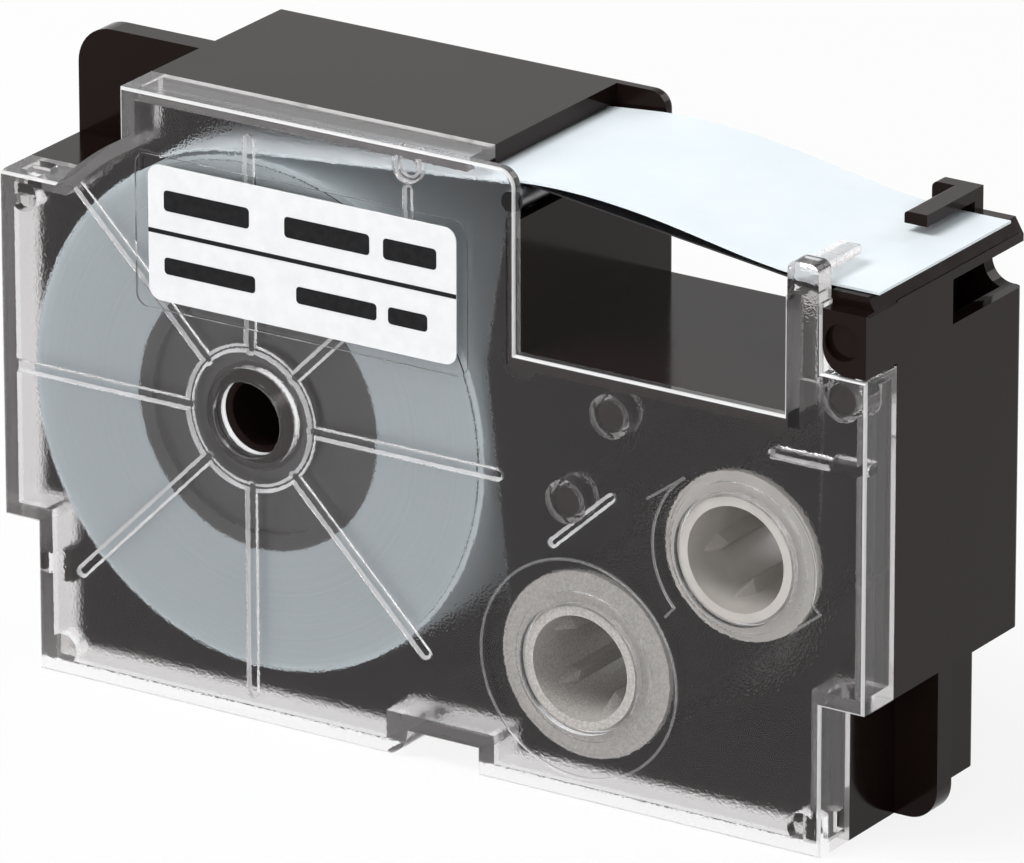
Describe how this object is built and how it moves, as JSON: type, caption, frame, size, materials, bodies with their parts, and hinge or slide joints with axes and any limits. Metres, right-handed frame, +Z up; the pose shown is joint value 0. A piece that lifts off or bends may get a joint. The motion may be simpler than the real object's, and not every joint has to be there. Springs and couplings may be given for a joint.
{
  "type": "label tape cassette",
  "caption": "Flat label tape cassette: clear front and black rear shell, tape roll, ink ribbon on driven spools, open printing bay.",
  "frame": {"origin": "middle of the bottom of the whole cassette, on the plane it stands on", "axes": "+Z up, the clear face looks along -Y, the tape leaves towards +X"},
  "size_m": [0.0748, 0.0216, 0.0473],
  "materials": {
    "black_plastic": "glossy moulded black",
    "clear_plastic": "clear, finely frosted on the face",
    "sticker": "semi-matt",
    "roll_tape": "edges of wound tape",
    "core_plastic": "satin",
    "slip_film": "thin clear film",
    "tape_film": "smooth satin",
    "ribbon_film": "thin black film",
    "steel": "ground",
    "supply_plastic": "satin",
    "takeup_plastic": "satin",
    "ribbon_wound": "edges of wound film",
    "felt": "felt"
  },
  "bodies": {
    "case": {"rear_shell": "black_plastic", "front_shell": "clear_plastic", "front_label": "sticker", "front_slip_disc": "slip_film", "rear_slip_disc": "slip_film", "label_tape": "tape_film", "ink_ribbon": "ribbon_film", "tape_guide_pin": "steel", "supply_friction_ring": "felt"},
    "tape": {"tape_core": "core_plastic", "tape_roll": "roll_tape"},
    "supply": {"ribbon_supply_spool": "supply_plastic", "ribbon_supply_roll": "ribbon_wound"},
    "takeup": {"ribbon_takeup_spool": "takeup_plastic", "ribbon_takeup_roll": "ribbon_wound"}
  },
  "joints": [
    {"name": "tape_spin", "type": "hinge", "parent": "case", "child": "tape", "pos_m": [-0.01555, 0, 0.02355], "axis": [0, 1, 0], "continuous": true},
    {"name": "supply_spin", "type": "hinge", "parent": "case", "child": "supply", "pos_m": [0.0133, 0, 0.0102], "axis": [0, 1, 0], "continuous": true},
    {"name": "takeup_spin", "type": "hinge", "parent": "case", "child": "takeup", "pos_m": [0.0265, 0, 0.0214], "axis": [0, 1, 0], "continuous": true}
  ],
  "couplings": [
    {"joint": "takeup_spin", "follows": "supply_spin", "ratio": 1.1636}
  ]
}
